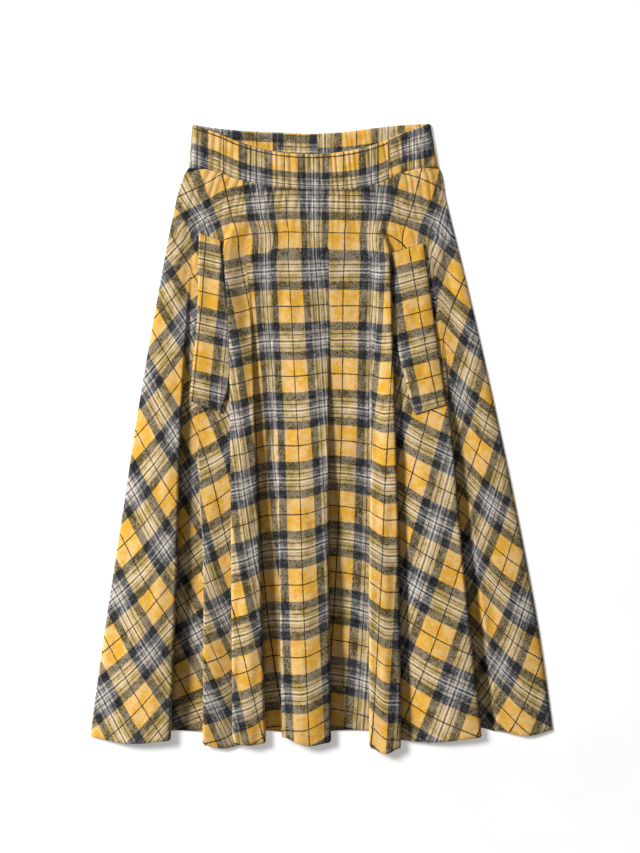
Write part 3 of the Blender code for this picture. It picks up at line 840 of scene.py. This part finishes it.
band = {
    "topLeft": -0.1690,
    "topRight": 0.1408,
    "endRise": 0.0012,
    "endReach": 0.016,
    "mouthRise": 0.0016,
    "puff": 0.0004,
    "centreBack": -0.006,
    "stepsPerGather": 9,
    "turnSteps": 16,
    "rows": 12,
    "join": 0.0862,  # a join in the front run, where the check jumps
    "joinHalf": 0.0005,
    "backJoin": -0.0576,
    "seamPast": -0.07,  # the check's count down, at the seam and at the top, left of the join and past it
    "top": -0.035,
    "topPast": -0.77,
    "stretch": 0.05,  # repeats by which the elastic draws the check up in mid band
    "backLine": 0.0446,  # where the back run's fourth line stands, and the repeat there
    "backLineCount": 4,
    "backRepeat": 0.0819,
    "backDrop": 0.0008,  # from the top edge down to the navy
    "backDropRight": 0.0172,
    "turnGain": 0.345,  # repeats that the check gains round the left side
    "turnStart": -0.1725,
    "turnReach": 0.025,
    "flat": (0.88, 0.054),
    "area": 0.0470,
}
bandSeam = namedtuple("bandSeam", "x q")
bandSeams = [bandSeam(-0.1719, 0.75), bandSeam(-0.1446, 0.65), bandSeam(-0.1070, 0.58)]
bandLine = namedtuple("bandLine", "x p")
bandLines = [
    bandLine(-0.1719, -1.52),
    bandLine(-0.1283, -1.00),
    bandLine(-0.0854, -0.50),
    bandLine(-0.0490, 0.00),
    bandLine(-0.0113, 0.50),
    bandLine(0.0277, 1.00),
    bandLine(0.0472, 1.231),
    bandLine(0.0570, 1.355),
    bandLine(0.0640, 1.50),
    bandLine(0.0710, 1.645),
    bandLine(0.0738, 1.769),
    bandLine(0.0862, 2.00),
    bandLine(0.1031, 2.231),
    bandLine(0.1102, 2.355),
    bandLine(0.1190, 2.50),
    bandLine(0.1317, 2.645),
    bandLine(0.1421, 2.769),
    bandLine(0.1470, 2.79),
]
# the back run is of three lengths, so its check jumps twice
bandBackLines = [
    bandLine(-0.1433, -2.645),
    bandLine(-0.1173, -2.355),
    bandLine(-0.1043, -2.231),
    bandLine(-0.0848, -2.00),
    bandLine(-0.0646, -1.769),
    bandLine(-0.0580, -1.66),
    bandLine(-0.0572, -1.34),
    bandLine(-0.0503, -1.231),
    bandLine(-0.0341, -1.00),
    bandLine(-0.0172, -0.769),
    bandLine(-0.0060, -0.645),
]


def bandFrontGrain(x, row):
    past = smooth((x - band["join"] + band["joinHalf"]) / (2 * band["joinHalf"]))
    seam = mix(straight(bandSeams, "x", "q", x), band["seamPast"], past)
    top = mix(band["top"], band["topPast"], past)
    stretched = band["stretch"] * np.sin(math.pi * row) * (1 - past)
    return straight(bandLines, "x", "p", x), mix(seam, top, row) - stretched


def bandBackGrain(x, y):
    right = x > band["centreBack"]
    left = x < band["backJoin"]
    counted = band["backLineCount"] - (x - band["backLine"]) / band["backRepeat"]
    p = np.where(right, counted, straight(bandBackLines, "x", "p", x))
    down = waist(x, "backTop") - y
    rising = flannel["navyEnd"] - (down - band["backDrop"]) / flannel["repeat"]
    falling = down - np.where(right, band["backDropRight"], band["backDrop"])
    q = np.where(left, rising, flannel["yellowHalf"] + falling / flannel["repeat"])
    return p + band["turnGain"] * (1 - smooth((x - band["turnStart"]) / band["turnReach"])), q


def bandStations():
    # the way round the band from centre back: along the back, round the right side, along the front and home
    perRun = gathers["perRun"] * band["stepsPerGather"]
    centre = (band["centreBack"] - sideRows[0].left) / (sideRows[0].right - sideRows[0].left)
    rightSteps = round(perRun * (1 - centre))
    leftSteps = perRun - rightSteps
    stations = [("back", mix(centre, 1, j / rightSteps)) for j in range(rightSteps)]
    stations += [("rightTurn", j / band["turnSteps"]) for j in range(band["turnSteps"])]
    stations += [("front", 1 - j / perRun) for j in range(perRun)]
    stations += [("leftTurn", j / band["turnSteps"]) for j in range(band["turnSteps"])]
    return stations + [("back", centre * j / leftSteps) for j in range(leftSteps + 1)]


def makeWaistband():
    stations = bandStations()
    row = np.arange(band["rows"] + 1) / band["rows"]
    thickness = cloth["bandWall"]
    radius = (bandFrontLevel + band["endRise"] - bandBackLevel) / 2
    outerRadius = radius + thickness / 2
    left = mix(sideRows[0].left, band["topLeft"], row) + outerRadius
    right = mix(sideRows[0].right, band["topRight"], row) - outerRadius
    endGap = {0: cloth["seamGap"] / 2, len(stations) - 1: -cloth["seamGap"] / 2}
    outer, inner, grain = [], [], []
    for k, (run, share) in enumerate(stations):
        across = {"rightTurn": 1.0, "leftTurn": 0.0}.get(run, share)
        x = mix(left, right, across) + endGap.get(k, 0.0)
        nominal = waistX(across)
        frontY = mix(waist(nominal, "seam") + cloth["seamGap"] / 2, waist(nominal, "top"), row)
        backY = mix(waist(nominal, "backSeam") + cloth["seamGap"] / 2, waist(nominal, "backTop"), row)
        wave = gatherWave(across)
        if run == "back":
            outer.append(np.stack([x, backY, np.zeros_like(x)], -1))
            inner.append(np.stack([x, backY, np.full_like(x, thickness - wave * gathers["height"] / 2)], -1))
            grain.append(np.stack(bandBackGrain(x, backY), -1))
        elif run == "front":
            near = np.minimum(x - left, right - x)
            level = bandFrontLevel + band["endRise"] * (1 - smooth(near / band["endReach"]))
            level = level + wave * gathers["height"] + band["mouthRise"] * row * math.sin(math.pi * across)
            puff = band["puff"] * np.sin(math.pi * row)
            outer.append(np.stack([x, frontY, level + thickness / 2 + puff], -1))
            inner.append(np.stack([x, frontY, level - thickness / 2], -1))
            grain.append(np.stack(bandFrontGrain(x, row), -1))
        else:
            facing = 1 if run == "rightTurn" else -1
            angle = math.pi * share
            up = -math.cos(angle) * facing
            out = np.array([facing * math.sin(angle), 0, up])
            height = np.full_like(x, bandBackLevel + radius)
            middle = np.stack([x, mix(backY, frontY, (1 + up) / 2), height], -1)
            outer.append(middle + out * outerRadius)
            inner.append(middle + out * (radius - thickness / 2))
            fromFront, fromBack = bandFrontGrain(x, row), bandBackGrain(x, backY)
            grain.append(mix(np.stack(fromBack, -1), np.stack(fromFront, -1), (1 + up) / 2))
    outer, inner, grain = (np.stack(part, 1) for part in (outer, inner, grain))
    return makeWall("waistbandCloth", outer, inner, grain, flannels["band"], "waistband")


waistbandCloth = makeWaistband()


welt = {
    "lift": 0.0005,
    "clearance": 0.0005,
    "puff": 0.0005,
    "puffReach": 0.006,
    "edgeDip": 0.0003,
    "usualWidth": 0.04,
    "usualLength": 0.22,
    "castFrom": 0.1,  # above all of the cloth
    "columns": 22,
    "rows": 90,
}
# a welt's edges by its length; "fold" is the row of the fold beside it, "warp" holds (y, x) along the line
# that runs through the middle of its yellow, and "weft" holds x, y, slope and repeat of the one that crosses
weltRow = namedtuple("weltRow", "down outerX outerY innerX innerY")
weltLeft = {
    "rows": [
        weltRow(0.0, -0.1592, 0.2662, -0.1330, 0.2570),
        weltRow(0.5, -0.1617, 0.1544, -0.1222, 0.1460),
        weltRow(0.8, -0.1676, 0.0900, -0.1216, 0.0790),
        weltRow(1.0, -0.1717, 0.0499, -0.1318, 0.0338),
    ],
    "fold": 2,
    "warp": [(0.0530, -0.1680), (0.1219, -0.1615), (0.1739, -0.1563), (0.2623, -0.1511)],
    "weft": (-0.1602, 0.1921, -0.24, 0.0845),
    "flat": (0.040, 0.225),
}
weltRight = {
    "rows": [
        weltRow(0.0, 0.1310, 0.2526, 0.0895, 0.2418),
        weltRow(0.5, 0.1453, 0.1479, 0.0960, 0.1350),
        weltRow(0.8, 0.1545, 0.0820, 0.1100, 0.0710),
        weltRow(1.0, 0.1597, 0.0450, 0.1203, 0.0325),
    ],
    "fold": 7,
    "warp": [(0.0413, 0.1505), (0.1154, 0.1349), (0.1765, 0.1245), (0.2532, 0.1115)],
    "weft": (0.0881, 0.2415, 0.28, 0.0878),
    "flat": (0.043, 0.215),
}
bpy.context.view_layer.update()
frontSurface = BVHTree.FromObject(frontCloth, bpy.context.evaluated_depsgraph_get())


def heightOn(surface, x, y):
    # how high a surface lies under those places
    above, down = welt["castFrom"], Vector((0, 0, -1))
    found = [surface.ray_cast(Vector((a, b, above)), down)[0].z for a, b in zip(np.ravel(x), np.ravel(y))]
    return np.array(found).reshape(np.shape(x))


def clearOfFold(x, y, index):
    # x, or as far as a welt may reach towards the foot of the fold that rolls over its inner edge
    fold = foldRows[index]
    seam = waist(x, "seam")
    share = (seam - y) / (seam - stripRows[index].hemRight)
    _, (foot, _) = foldEnds(fold, share)
    edge = foldEdge(fold, share)
    room = cloth["wall"] / 2 + welt["clearance"]
    if fold.faces == "left":
        return np.minimum(x, np.minimum(foot, edge) - room)
    return np.maximum(x, np.maximum(foot, edge) + room)


def weltPlace(form, across, down):
    outerX, outerY, innerX, innerY = (
        column(form["rows"], "down", key, down) for key in ("outerX", "outerY", "innerX", "innerY")
    )
    return mix(outerX, clearOfFold(innerX, innerY, form["fold"]), across), mix(outerY, innerY, across)


def makeWelt(name, form, replaced):
    across, down = gridOf(welt["columns"], welt["rows"])
    x, y = weltPlace(form, across, down)
    under = heightOn(frontSurface, x, y) + welt["lift"]
    fromSide = np.minimum(across, 1 - across) * welt["usualWidth"]
    fromEnd = np.minimum(down, 1 - down) * welt["usualLength"]
    puff = welt["puff"] * smooth(np.minimum(fromSide, fromEnd) / welt["puffReach"]) - welt["edgeDip"]
    outer = np.stack([x, y, under + cloth["weltWall"] + puff], -1)
    inner = np.stack([x, y, under], -1)
    warpY, warpX = zip(*form["warp"])
    p = (x - np.interp(y, warpY, warpX)) / flannel["repeat"]
    x0, y0, slope, repeat = form["weft"]
    q = (y0 + slope * (x - x0) - y) / repeat
    grain = np.stack([p, q], -1)
    if outer[0, 0, 0] > outer[0, -1, 0]:
        outer, inner, grain = outer[:, ::-1], inner[:, ::-1], grain[:, ::-1]
    return makeWall(name, outer, inner, grain, flannels["welt"], replaced)


weltLeftCloth = makeWelt("pocketWeltLeftCloth", weltLeft, "pocket_welt_left")
weltRightCloth = makeWelt("pocketWeltRightCloth", weltRight, "pocket_welt_right")


stitching = {
    "thread": (0.20, 0.155, 0.075),
    "threadFinish": (0.7, 2500.0, 0.0001),  # roughness, fibres in a metre and their depth
    "sizes": {"Pitch": 0.0030, "Stitch length": 0.0023, "Thread thickness": 0.0004, "Seed": 3},
    "smallest": (0.82, 0.85, 0.85),  # of a stitch's own sizes
    "pillSides": 6,
    "pillRings": 4,
    "weltInset": 0.065,  # share of a welt's width in from its edges
    "weltEndInset": 0.011,  # share of its length
    "weltSteps": 60,
    "endStep": 6,
    "hemRise": 0.012,
}


def makeStitchTree():
    # little pills of thread, end to end along a path
    tree = bpy.data.node_groups.new("stitchRow", "GeometryNodeTree")
    sockets = tree.interface
    sockets.new_socket("Path", in_out="INPUT", socket_type="NodeSocketGeometry")
    for name, value in stitching["sizes"].items():
        kind = "NodeSocketInt" if name == "Seed" else "NodeSocketFloat"
        sockets.new_socket(name, in_out="INPUT", socket_type=kind).default_value = value
    sockets.new_socket("Stitches", in_out="OUTPUT", socket_type="NodeSocketGeometry")
    given = addNode(tree, "NodeGroupInput").outputs
    path = addNode(tree, "GeometryNodeMeshToCurve", {"Mesh": given["Path"]}).outputs["Curve"]
    spacing = {"Curve": path, "Length": given["Pitch"]}
    spaced = addNode(tree, "GeometryNodeResampleCurve", spacing, mode="LENGTH").outputs["Curve"]
    tangent = addNode(tree, "GeometryNodeInputTangent").outputs["Tangent"]
    along = addNode(tree, "FunctionNodeAlignRotationToVector", {"Vector": tangent}, axis="X")
    rounding = {"Segments": stitching["pillSides"], "Rings": stitching["pillRings"], "Radius": 0.5}
    pill = addNode(tree, "GeometryNodeMeshUVSphere", rounding).outputs["Mesh"]
    thickness = given["Thread thickness"]
    sizing = {"X": given["Stitch length"], "Y": thickness, "Z": thickness}
    size = addNode(tree, "ShaderNodeCombineXYZ", sizing).outputs["Vector"]
    straying = {0: stitching["smallest"], 1: (1.0, 1.0, 1.0), "Seed": given["Seed"]}
    uneven = addNode(tree, "FunctionNodeRandomValue", straying, data_type="FLOAT_VECTOR").outputs[0]
    scaled = addNode(tree, "ShaderNodeVectorMath", {0: size, 1: uneven}, operation="MULTIPLY")
    placing = {"Points": spaced, "Instance": pill}
    placing |= {"Rotation": along.outputs["Rotation"], "Scale": scaled.outputs["Vector"]}
    placed = addNode(tree, "GeometryNodeInstanceOnPoints", placing).outputs["Instances"]
    solid = addNode(tree, "GeometryNodeRealizeInstances", {"Geometry": placed}).outputs["Geometry"]
    soft = addNode(tree, "GeometryNodeSetShadeSmooth", {"Geometry": solid}).outputs["Geometry"]
    thread = makePlain("stitchThread", stitching["thread"], *stitching["threadFinish"])
    finish = addNode(tree, "GeometryNodeSetMaterial", {"Geometry": soft, "Material": thread})
    addNode(tree, "NodeGroupOutput", {"Stitches": finish.outputs["Geometry"]})
    return tree


stitchTree = makeStitchTree()


def sew(name, points, closed):
    count = len(points)
    edges = [(i, (i + 1) % count) for i in range(count if closed else count - 1)]
    mesh = bpy.data.meshes.new(name + "Path")
    mesh.from_pydata(points.tolist(), edges, [])
    piece = addObject(name, mesh)
    sewing = piece.modifiers.new("stitching", "NODES")
    sewing.node_group = stitchTree
    for socket in stitchTree.interface.items_tree:
        if socket.in_out == "INPUT" and socket.name in stitching["sizes"]:
            sewing[socket.identifier] = stitching["sizes"][socket.name]
    bpy.context.view_layer.update()
    made = bpy.data.meshes.new_from_object(piece.evaluated_get(bpy.context.evaluated_depsgraph_get()))
    piece.modifiers.remove(sewing)
    piece.data = made
    made.name = name
    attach(piece, "root")
    print(f"{name}: {len(made.polygons)} faces")
    return piece


def clothRow(piece, columns, row):
    # points of a piece's outer side along one row of its grid, which may fall between two
    flat = np.empty(len(piece.data.vertices) * 3, np.float32)
    piece.data.vertices.foreach_get("co", flat)
    points = flat.reshape(-1, 3).astype(float)
    above = int(row)
    upper, lower = (points[r * columns : (r + 1) * columns] for r in (above, above + 1))
    return mix(upper, lower, row - above)


def sewWelt(name, form, piece):
    # round a welt, near its edges
    inset, end = stitching["weltInset"], stitching["weltEndInset"]
    steps = np.linspace(0, 1, stitching["weltSteps"])
    along, over = mix(end, 1 - end, steps), mix(inset, 1 - inset, steps[:: stitching["endStep"]])
    across = np.concatenate([np.full_like(along, inset), over, np.full_like(along, 1 - inset), over[::-1]])
    down = np.concatenate([along, np.full_like(over, 1 - end), along[::-1], np.full_like(over, end)])
    x, y = weltPlace(form, across, down)
    surface = BVHTree.FromObject(piece, bpy.context.evaluated_depsgraph_get())
    return sew(name, np.stack([x, y, heightOn(surface, x, y)], -1), True)


weltLeftStitches = sewWelt("pocketWeltLeftStitches", weltLeft, weltLeftCloth)
weltRightStitches = sewWelt("pocketWeltRightStitches", weltRight, weltRightCloth)
hemShare = 1 - stitching["hemRise"] / (waistRows[4].seam - stripRows[5].hemMiddle)
hemRow = front["rows"] * hemShare ** (1 / front["rowCrowding"])
hemPoints = clothRow(frontCloth, len(frontPlaces()), hemRow)
hemStitches = sew("hemStitches", hemPoints, False)


studio = {
    "floor": 12.0,
    "floorColour": (0.90, 0.90, 0.90),
    "floorFinish": (0.8, 6.0, 0.0),
    "floorGlow": 0.30,
    "keyPlace": (-6.50, 2.40, 3.80),
    "keySize": 1.5,
    "keyPower": 1165.0,
    "fillPlace": (-0.6, 0.8, 3.4),
    "fillSize": 2.0,
    "fillPower": 11.0,
    "floorLightPlace": (-4.8, 3.1, 7.2),
    "floorLightSize": 3.2,
    "floorLightPower": 830.0,
    "sky": 0.11,
    "cameraPlace": (-0.0029, 0.0160),
    "cameraHeight": 4.0,
    "viewHeight": 1.109,
    "sensor": 36.0,  # millimetres
    "clipEnd": 20.0,
}


def makeStudio():
    s = studio
    half = s["floor"] / 2
    mesh = bpy.data.meshes.new("floor")
    corners = [(-half, -half, 0), (half, -half, 0), (half, half, 0), (-half, half, 0)]
    mesh.from_pydata(corners, [], [(0, 1, 2, 3)])
    mesh.materials.append(makePlain("paleFloor", s["floorColour"], *s["floorFinish"], s["floorGlow"]))
    floor = addObject("floor", mesh)
    pieces = [o for o in bpy.context.scene.objects if o.type == "MESH" and o is not floor]
    for name, key, receivers in (
        ("keyLight", "key", pieces),
        ("fillLight", "fill", [*pieces, floor]),
        ("floorLight", "floorLight", [floor]),
    ):
        light = bpy.data.lights.new(name, "AREA")
        light.shape = "DISK"
        light.size = s[key + "Size"]
        light.energy = s[key + "Power"]
        lamp = addObject(name, light)
        lamp.location = s[key + "Place"]
        lamp.rotation_euler = (-Vector(s[key + "Place"])).to_track_quat("-Z", "Y").to_euler()
        lit = bpy.data.collections.new(name + "Falls")
        for piece in receivers:
            lit.objects.link(piece)
        lamp.light_linking.receiver_collection = lit
    world = bpy.data.worlds.new("softSky")
    world.use_nodes = True
    world.node_tree.nodes["Background"].inputs["Strength"].default_value = s["sky"]
    world.node_tree.nodes["Background"].inputs["Color"].default_value = (1.0, 1.0, 1.0, 1.0)
    bpy.context.scene.world = world
    lens = bpy.data.cameras.new("camera")
    lens.lens = s["sensor"] * s["cameraHeight"] / s["viewHeight"]
    lens.clip_end = s["clipEnd"]
    camera = addObject("camera", lens)
    camera.location = (*s["cameraPlace"], s["cameraHeight"])
    bpy.context.scene.camera = camera
    bpy.context.scene.view_settings.view_transform = "Standard"


makeStudio()
print("studio made")

bpy.context.view_layer.update()
